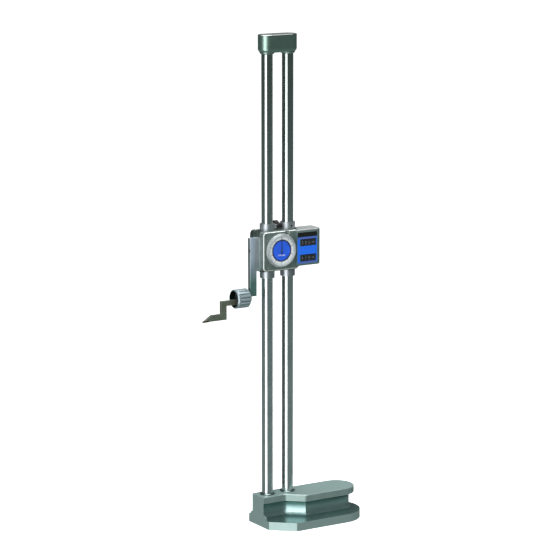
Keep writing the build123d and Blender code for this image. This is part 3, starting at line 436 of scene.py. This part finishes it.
def plated_head():
    """Dark green plating under a clear film, with painted shade on top."""
    rounding = 2.4 * MM           # of the edge around the top
    finish = Finish("plated_head", 0.36, 1.0)
    patches = finish.patches(15 * MM)
    plating = finish.mix(patches, (0.10, 0.30, 0.215), (0.14, 0.35, 0.26))
    high = span("column_head", Z)[1]
    # painted shade: the top and its rounded edge are darkened
    top = finish.fit(finish.axis("Z"), high - rounding, high - 0.75 * rounding)
    finish.colour(finish.mix(top, plating, (0.07, 0.10, 0.09)))
    lines = finish.grain(ALONG_X)
    finish.roughness(finish.fit(finish.math("ADD", lines, patches), 0.3, 1.7, 0.33, 0.43))
    finish.shader.inputs["Coat Weight"].default_value = 1.0
    finish.shader.inputs["Coat IOR"].default_value = 3.4
    finish.shader.inputs["Coat Roughness"].default_value = 0.36
    return finish.emboss(lines, 0.01 * MM)


def plated_casting():
    """Dark plated body, with the turned collars above and below it left bright."""
    above, below = 0.6 * MM, 3.8 * MM     # where the collars start from the housing
    soft = 0.2 * MM
    finish = Finish("plated_casting", 0.32, 0.95)
    patches = finish.patches(12 * MM)
    body = finish.mix(patches, (0.15, 0.19, 0.17), (0.24, 0.28, 0.265))
    # painted highlight along the body's edges
    body = finish.mix(finish.edges(0.9 * MM), body, (0.66, 0.70, 0.70))
    collar = finish.mix(patches, (0.51, 0.54, 0.58), (0.61, 0.64, 0.69))
    low, high = span("dial_housing", Z)
    up = finish.axis("Z")
    turned = finish.math("ADD", finish.fit(up, high + above, high + above + soft),
                         finish.fit(up, low - below, low - below - soft))
    finish.colour(finish.mix(turned, body, collar))
    grit = finish.grit(1.2 * MM)
    finish.roughness(finish.math("ADD", finish.fit(grit, 0.3, 0.7, -0.05, 0.05),
                                 finish.fit(turned, 0, 1, 0.34, 0.42)))
    return finish.emboss(grit, 0.03 * MM)


def satin_shell():
    """Mottled satin shell, its bevel round the front polished and painted near-white as a
    highlight line.
    """
    bevel_deep = 1.0 * MM
    finish = Finish("satin_shell", 0.38, 0.55)
    satin = finish.mix(finish.patches(9 * MM), (0.16, 0.22, 0.20), (0.28, 0.34, 0.32))
    depth = finish.axis("Y")
    behind_front = finish.fit(depth, HOUSING_FRONT + 0.02 * MM, HOUSING_FRONT + 0.1 * MM)
    before_side = finish.fit(depth, HOUSING_FRONT + bevel_deep + 0.2 * MM,
                             HOUSING_FRONT + bevel_deep)
    bevel = finish.both(behind_front, before_side)
    # painted highlight: the front bevel and the edges are painted near-white and less
    # metallic
    bright = finish.math("MAXIMUM", bevel, finish.edges(1.4 * MM))
    finish.colour(finish.mix(bright, satin, (0.97, 1.0, 0.98)))
    finish.metallic(finish.fit(bright, 0, 1, 0.55, 0.1))
    grit = finish.grit(1.0 * MM)
    finish.roughness(finish.fit(grit, 0.3, 0.7, 0.32, 0.44))
    return finish.emboss(grit, 0.03 * MM)


def counter_shell():
    """Satin shell of the counters, with painted light on its top and a painted highlight
    along its upper edges.
    """
    rounding = 3.5 * MM           # of the edge around the top
    finish = Finish("counter_shell", 0.36, 0.55)
    sides = finish.mix(finish.patches(12 * MM), (0.16, 0.26, 0.26), (0.22, 0.33, 0.33))
    high = span("counter_housing", Z)[1]
    up = finish.axis("Z")
    # painted light: the top is lighter
    top = finish.fit(up, high - rounding, high - 1.0 * MM)
    shell = finish.mix(top, sides, (0.56, 0.58, 0.57))
    # painted highlight along the upper edges
    upper_edge_highlight = finish.both(finish.edges(0.9 * MM),
                              finish.fit(up, high - 12 * MM, high - 6 * MM))
    finish.colour(finish.mix(upper_edge_highlight, shell, (0.84, 0.90, 0.88)))
    grit = finish.grit(1.0 * MM)
    finish.roughness(finish.fit(grit, 0.3, 0.7, 0.30, 0.42))
    return finish.emboss(grit, 0.03 * MM)


def brushed_arm():
    """Brushed arm, painted lighter and bluish above and darker and greener toward its foot,
    with painted shade on its far side and in the screw's recess and a painted highlight on
    its edges.
    """
    recess = 3.6 * MM             # just past the radius of the screw's recess
    finish = Finish("brushed_arm", 0.34, 0.6)
    lines = finish.grain((0.6 * MM, 0.6 * MM, 80 * MM))
    low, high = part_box("measuring_arm")
    across, over, up = finish.axis("X"), finish.axis("Y"), finish.axis("Z")
    # Painted light and shade: lighter and bluish toward the top, darker and greener toward
    # the foot, lighter toward the right.
    upper = finish.fit(up, low.z + 36 * MM, high.z - 36 * MM)
    right = finish.fit(across, high.x - 12 * MM, high.x - 4 * MM)
    bluish = finish.mix(right, (0.72, 0.82, 0.98), (0.84, 0.95, 1.0))
    tone = finish.mix(upper, (0.17, 0.33, 0.30), bluish)
    shade = finish.mix(upper, (0.13, 0.26, 0.235), finish.mix(0.2, bluish, (0, 0, 0)))
    colour = finish.mix(finish.fit(lines, 0.3, 0.7), shade, tone)

    left = high.x - ARM_REACH
    # painted shade on the far side face
    far_side_shade = finish.fit(across, left + 0.3 * MM, left + 0.1 * MM)
    colour = finish.mix(far_side_shade, colour, (0.07, 0.09, 0.09))
    reach = finish.reach(finish.math("SUBTRACT", over, middle("arm_screw", Y)),
                         finish.math("SUBTRACT", up, middle("arm_screw", Z)))
    # painted shade: the screw's recess is painted near-black
    recess_shade = finish.fit(reach, recess, recess - 0.03 * MM)
    colour = finish.mix(recess_shade, colour, (0.01, 0.012, 0.012))
    # painted highlight along the edges, kept clear of the recess
    arm_edge_highlight = finish.both(finish.edges(0.6 * MM),
                               finish.fit(reach, recess + 0.2 * MM, recess + 0.4 * MM))
    finish.colour(finish.mix(arm_edge_highlight, colour, (0.72, 0.84, 0.86)))
    finish.roughness(finish.fit(lines, 0.3, 0.7, 0.28, 0.42))
    return finish.emboss(lines, 0.03 * MM)


def nut_metal():
    """Bright fluted steel, with a painted highlight on its edges and painted shade in its
    flutes and its recess.
    """
    recess_radius, recess_deep = 15 * MM, 14 * MM
    flute_floor, flute_top = 15.5 * MM, 16 * MM
    finish = Finish("fluted_nut", 0.3, 0.6)
    bright = finish.mix(finish.patches(6 * MM), (0.44, 0.54, 0.60), (0.57, 0.67, 0.73))
    # painted highlight along the edges
    bright = finish.mix(finish.edges(0.6 * MM), bright, (0.95, 0.98, 1.0))
    low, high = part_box("scriber_clamp_nut")
    rise = finish.math("SUBTRACT", finish.axis("Z"), (low.z + high.z) / 2)
    reach = finish.reach(finish.axis("Y"), rise)
    # painted shade in the flutes
    flute_shade = finish.both(finish.fit(reach, flute_floor - 0.2 * MM, flute_floor),
                            finish.fit(reach, flute_top + 0.7 * MM, flute_top))
    bright = finish.mix(flute_shade, bright, (0.25, 0.33, 0.33))
    along = finish.math("SUBTRACT", finish.axis("X"), low.x)
    # painted shade: the recess is painted near-black
    recess_shade = finish.both(finish.fit(reach, recess_radius, recess_radius - 0.4 * MM),
                            finish.fit(along, recess_deep, recess_deep - 1 * MM))
    finish.colour(finish.mix(recess_shade, bright, (0.010, 0.028, 0.022)))
    lines = finish.grain(ALONG_X)
    finish.roughness(finish.fit(lines, 0.3, 0.7, 0.24, 0.36))
    return finish.emboss(lines, 0.01 * MM)


def dial_paint():
    """Matt silver-white print, a little mottled."""
    finish = Finish("dial_silver", 0.42, 0.05)
    speckle = finish.noise(0.6 * MM, 3)
    finish.colour(finish.mix(speckle, (0.88, 0.93, 0.96), (0.96, 0.99, 1.0)))
    finish.roughness(finish.fit(speckle, 0.3, 0.7, 0.36, 0.5))
    return finish.emboss(speckle, 0.01 * MM)


def crystal():
    """Thin clear cover that keeps a faint film."""
    finish = Finish("clear_cover", 0.03)
    film = finish.fit(finish.noise(12 * MM, 4), 0.35, 0.7)
    finish.colour(finish.mix(film, (0.30, 0.34, 0.38), (0.20, 0.24, 0.28)))
    finish.roughness(finish.fit(film, 0, 1, 0.02, 0.06))
    finish.shader.inputs["Alpha"].default_value = 0.03
    finish.shader.inputs["IOR"].default_value = 1.49
    finish.material.surface_render_method = "BLENDED"
    return finish


def counter_panel():
    """Printed panel: black head band, violet strips and a blue field."""
    finish = Finish("printed_panel", 0.3)
    up = finish.axis("Z")
    speckle = finish.noise(0.9 * MM, 3)
    colour = finish.mix(speckle, (0.008, 0.155, 0.90), (0.014, 0.185, 1.0))
    violet = finish.mix(speckle, (0.065, 0.130, 0.49), (0.090, 0.165, 0.60))
    black = (0.010, 0.013, 0.010)
    upper = (PANE_Z[1], PANE_Z[1] + STRIP_HIGH)
    lower = (span("counter_panel", Z)[0], PANE_Z[0])
    for low, high in (upper, lower):
        strip = finish.both(finish.math("GREATER_THAN", up, low),
                            finish.math("LESS_THAN", up, high))
        colour = finish.mix(strip, colour, violet)
    colour = finish.mix(finish.math("GREATER_THAN", up, upper[1]), colour, black)
    finish.colour(colour)
    finish.roughness(finish.fit(speckle, 0.3, 0.7, 0.26, 0.36))
    return finish.emboss(speckle, 0.01 * MM)


DIAL_CENTRE = (DIAL_X, 0, DIAL_Z)
finishes = {
    "base_iron": ground_iron(),
    "column_steel": chromed(),
    "rack_steel": worked_metal(
        "hobbed_steel", (0.35, 0.36, 0.36), (0.24, 0.26, 0.26), rough=0.34, spread=0.08,
        grain=ALONG_Y, depth=0.02 * MM, patch=10 * MM),
    "head_steel": plated_head(),
    "ring_steel": worked_metal(
        "seat_ring_steel", (0.30, 0.36, 0.35), (0.20, 0.26, 0.25), rough=0.3, spread=0.06,
        grain=ALONG_X, depth=0.01 * MM, patch=8 * MM),
    "screw_black": worked_metal(
        "black_oxide", (0.055, 0.055, 0.055), (0.03, 0.03, 0.03), rough=0.4, spread=0.08,
        grain=ALONG_Z, depth=0.01 * MM, patch=4 * MM,
        edge_tone=(0.16, 0.16, 0.16), edge_width=0.3 * MM),
    "casting_alloy": plated_casting(),
    "bronze": turned_metal(
        "bearing_bronze", (0.66, 0.50, 0.27), (0.5, 0.36, 0.18), rough=0.35,
        centre=(0, 0, 0), turn=ABOUT_Z),
    "felt": moulded(
        "oiled_felt", (0.09, 0.085, 0.08), rough=0.85, pebble_size=0.5 * MM, depth=0.2 * MM),
    "shell_alloy": satin_shell(),
    "bezel_alloy": turned_metal(
        "turned_bezel", (0.40, 0.45, 0.46), (0.32, 0.37, 0.38), rough=0.34,
        centre=DIAL_CENTRE, turn=ABOUT_Y, metallic=0.35, edge_tone=(0.95, 0.98, 1.0)),
    "pointer_black": moulded(
        "pointer_lacquer", (0.012, 0.012, 0.016), rough=0.35, pebble_size=0.4 * MM,
        depth=0.01 * MM),
    "gear_brass": turned_metal(
        "cut_brass", (0.72, 0.58, 0.28), (0.6, 0.46, 0.2), rough=0.3,
        centre=DIAL_CENTRE, turn=ABOUT_Y),
    "shaft_steel": worked_metal(
        "turned_steel", (0.60, 0.61, 0.62), (0.5, 0.51, 0.52), rough=0.28, spread=0.06,
        grain=ALONG_Z, depth=0.01 * MM, patch=6 * MM,
        edge_tone=(0.8, 0.8, 0.8), edge_width=0.3 * MM),
    "arm_steel": brushed_arm(),
    "scriber_steel": worked_metal(
        "blued_steel", (0.25, 0.28, 0.22), (0.17, 0.195, 0.15), rough=0.34, spread=0.08,
        grain=ALONG_X, depth=0.02 * MM, patch=8 * MM,
        edge_tone=(0.5, 0.52, 0.46), metallic=0.55),
    "carbide": worked_metal(
        "ground_carbide", (0.16, 0.13, 0.10), (0.10, 0.08, 0.07), rough=0.24, spread=0.05,
        grain=ALONG_X, depth=0.01 * MM, patch=3 * MM,
        edge_tone=(0.35, 0.32, 0.3), edge_width=0.4 * MM, metallic=0.8),
    "nut_steel": nut_metal(),
    "lever_black": moulded("lever_moulding", (0.006, 0.002, 0.003), 0.55),
    "counter_alloy": counter_shell(),
    "wheel_plastic": moulded("counter_wheel", (0.018, 0.018, 0.02), 0.4),
    "button_black": moulded("button_moulding", (0.03, 0.03, 0.03), 0.4),
    "dial_paint": dial_paint(),
    "crystal": crystal(),
    "panel_blue": counter_panel(),
}
print_black = printed("black_print", (0.01, 0.01, 0.012))
print_white = printed("white_print", (0.80, 0.82, 0.84))
figure_white = printed("figure_print", (0.26, 0.29, 0.31))
dial_blue = printed("dial_blue", (0.004, 0.100, 0.80), 0.35, 0.6 * MM, 0.01 * MM)
dial_navy = printed("dial_navy", (0.006, 0.010, 0.05), 0.35, 0.6 * MM, 0.01 * MM)

slot_of = {part["node"]: part["material_slot"] for part in frame["record"]["subparts"]}
for name, piece in cad.items():
    for socket in piece.material_slots:
        socket.material = finishes[slot_of[name]].material


# ---- Dial ------------------------------------------------------------------------
def dial_graduations():
    """Strokes around the dial, longer and bolder at each fifth and tenth."""
    strokes = []
    for number in range(STROKES):
        rank = next(step for step in STROKE_SIZES if number % step == 0)
        length, wide = STROKE_SIZES[rank]
        stroke = tile(DIAL_X, DIAL_FRONT - PRINT / 2, DIAL_Z + STROKE_END - length / 2,
                      wide, PRINT, length)
        angle = radians(360 / STROKES * number)
        strokes.append(turned_about(stroke, DIAL_CENTRE, angle, "Y"))
    settle(joined(strokes), "dial_graduations", "bezel", print_black)


def dial_figures():
    """Plain numbers inside each tenth stroke."""
    figures = []
    for number in range(0, STROKES, 10):
        angle = radians(360 / STROKES * number)
        figures.append(lettering(str(number), DIAL_X + DIAL_FIGURE_RING * sin(angle),
                                 DIAL_FRONT - PRINT / 2,
                                 DIAL_Z + DIAL_FIGURE_RING * cos(angle),
                                 DIAL_FIGURE_HIGH, PRINT))
    settle(joined(figures), "dial_figures", "bezel", print_black)


def dial_centre():
    """Blue field in a dark rim, with the unit of one stroke on it."""
    rim = disc(DIAL_X, DIAL_FRONT - PRINT / 2, DIAL_Z, RIM_RADIUS, PRINT)
    settle(rim, "dial_centre_rim", "bezel", dial_navy)
    field = disc(DIAL_X, DIAL_FRONT - PRINT, DIAL_Z, FIELD_RADIUS, 2 * PRINT)
    settle(field, "dial_centre_field", "bezel", dial_blue)
    legend = lettering("0.01 mm", DIAL_X, DIAL_FRONT - 2.5 * PRINT, DIAL_Z - LEGEND_DROP,
                       LEGEND_HIGH, PRINT, LEGEND_BOLD)
    settle(legend, "dial_legend", "bezel", print_white)


dial_graduations()
dial_figures()
dial_centre()


# ---- Counters --------------------------------------------------------------------
def wheel_figures(counter, place, first, step):
    """White figures around a counter wheel, the first one at the window."""
    x, z = WHEEL_X[place], COUNTERS[counter]
    figures = []
    for number in range(WHEEL_DIGITS):
        digit = (first + step * number) % WHEEL_DIGITS
        figure = lettering(str(digit), x, WHEEL_Y - WHEEL_RADIUS, z,
                           WHEEL_FIGURE_HIGH, WHEEL_FIGURE_DEEP, FIGURE_BOLD)
        angle = radians(360 / WHEEL_DIGITS * number)
        figures.append(turned_about(figure, (0, WHEEL_Y, z), angle, "X"))
    settle(joined(figures), f"{counter}_{place}_figures", f"{counter}_{place}",
           figure_white)


def window_mask(counter):
    """Black mask behind a window, with an opening for each wheel and a unit."""
    z = COUNTERS[counter]
    mask = tile(sum(PANE_X) / 2, MASK_Y, z, PANE_X[1] - PANE_X[0], MASK_DEEP, PANE_HIGH)
    for x in WHEEL_X.values():
        cutter = tile(x, MASK_Y, z, OPENING_WIDE, 2 * MM, OPENING_HIGH)
        cut = mask.modifiers.new("opening", "BOOLEAN")
        cut.operation = "DIFFERENCE"
        cut.solver = "EXACT"
        cut.object = cutter
        pick(mask)
        bpy.ops.object.modifier_apply(modifier="opening")
        bpy.data.objects.remove(cutter)
    settle(mask, f"{counter}_window_mask", "slider", print_black)
    unit = lettering("mm", WHEEL_X["units"] + UNIT_OFFSET, MASK_Y - UNIT_RISE, z,
                     UNIT_HIGH, UNIT_DEEP, FIGURE_BOLD)
    settle(unit, f"{counter}_window_unit", "slider", figure_white)


for counter, reading, step in (("up", "381", 1), ("down", "619", -1)):
    for place, figure in zip(PLACES, reading):
        wheel_figures(counter, place, int(figure), step)
window_mask("up")
window_mask("down")


# ---- Studio ----------------------------------------------------------------------
EYE = Vector((-2.25158, -3.62872, 1.25563))
HEADING = radians(-31.881)
TILT = radians(-10.798)
LENS, FILM_WIDTH = 158.84, 36     # in millimetres
FLOOR_DROP = 0.2 * MM


def stood(device, location, turn=(0, 0, 0)):
    """Stand a camera or a light in the scene."""
    stand = bpy.data.objects.new(device.name, device)
    stand.location = location
    stand.rotation_euler = turn
    bpy.context.scene.collection.objects.link(stand)
    return stand


def camera():
    eye = bpy.data.cameras.new("eye")
    eye.lens = LENS
    eye.sensor_width = FILM_WIDTH
    eye.sensor_fit = "HORIZONTAL"
    eye.clip_end = 200
    bpy.context.scene.camera = stood(eye, EYE, (pi / 2 + TILT, 0, HEADING))


def floor():
    """White ground that takes shadow but lights nothing."""
    pick()
    bpy.ops.mesh.primitive_plane_add(size=160, location=(0, 0, -FLOOR_DROP))
    ground = bpy.context.object
    ground.name = "floor"
    material = bpy.data.materials.new("pale_floor")
    material.use_nodes = True
    shader = material.node_tree.nodes["Principled BSDF"]
    shader.inputs["Base Color"].default_value = (0.86, 0.86, 0.86, 1)
    shader.inputs["Roughness"].default_value = 0.9
    shader.inputs["Emission Color"].default_value = (1, 1, 1, 1)
    shader.inputs["Emission Strength"].default_value = 0.80
    ground.data.materials.append(material)
    ground.visible_glossy = False
    ground.visible_diffuse = False


def softbox(name, bearing, distance, height, wide, high, power, mirrored=True,
            tone=(1, 1, 1)):
    """An upright soft panel, its bearing in degrees clockwise from the eye's side."""
    toward_eye = Vector((EYE.x, EYE.y, 0)).normalized()
    toward = Matrix.Rotation(radians(-bearing), 3, "Z") @ toward_eye
    light = bpy.data.lights.new(name, "AREA")
    light.shape = "RECTANGLE"
    light.size, light.size_y = wide, high
    light.energy = power
    light.color = tone
    panel = stood(light, toward * distance + Vector((0, 0, height)),
                  (-toward).to_track_quat("-Z", "Y").to_euler())
    panel.visible_glossy = mirrored


def overhead(name, height, size, power):
    """A level soft panel above the gauge."""
    light = bpy.data.lights.new(name, "AREA")
    light.size = size
    light.energy = power
    stood(light, (0, 0, height))


def sky():
    """White to the eye, dim green-grey in polished metal, soft fill elsewhere."""
    world = bpy.data.worlds.new("studio")
    bpy.context.scene.world = world
    world.use_nodes = True
    tree = world.node_tree
    tree.nodes.clear()
    out = tree.nodes.new("ShaderNodeOutputWorld")
    rays = tree.nodes.new("ShaderNodeLightPath")

    def background(colour, strength=1.0):
        node = tree.nodes.new("ShaderNodeBackground")
        node.inputs["Color"].default_value = (*colour, 1)
        node.inputs["Strength"].default_value = strength
        return node

    def choose(share, first, second):
        node = tree.nodes.new("ShaderNodeMixShader")
        tree.links.new(share, node.inputs["Fac"])
        tree.links.new(first.outputs[0], node.inputs[1])
        tree.links.new(second.outputs[0], node.inputs[2])
        return node

    fill = background((0.93, 1.0, 0.99), 0.42)
    polished = background((0.62, 0.80, 0.77))
    # What polished metal mirrors from below is lighter, as a bench would be.
    level, steep = -0.11, -0.24
    room, bench = 0.115, 0.26
    around = tree.nodes.new("ShaderNodeTexCoord")
    split = tree.nodes.new("ShaderNodeSeparateXYZ")
    tree.links.new(around.outputs["Generated"], split.inputs["Vector"])
    lower = tree.nodes.new("ShaderNodeMapRange")
    tree.links.new(split.outputs["Z"], lower.inputs["Value"])
    for name, number in (("From Min", level), ("From Max", steep),
                         ("To Min", room), ("To Max", bench)):
        lower.inputs[name].default_value = number
    tree.links.new(lower.outputs["Result"], polished.inputs["Strength"])
    soft = choose(rays.outputs["Is Glossy Ray"], fill, polished)
    seen = choose(rays.outputs["Is Camera Ray"], soft, background((1, 1, 1)))
    tree.links.new(seen.outputs[0], out.inputs["Surface"])


camera()
floor()
sky()
softbox("key_panel", bearing=24, distance=2.2, height=0.2, wide=1.5, high=3.4, power=42)
overhead("top_panel", height=2.4, size=1.8, power=62)
softbox("front_panel", bearing=-62, distance=2.6, height=0.9, wide=1.2, high=1.6, power=6,
        mirrored=False, tone=(0.95, 1.0, 0.98))
bpy.context.scene.view_settings.view_transform = "Standard"
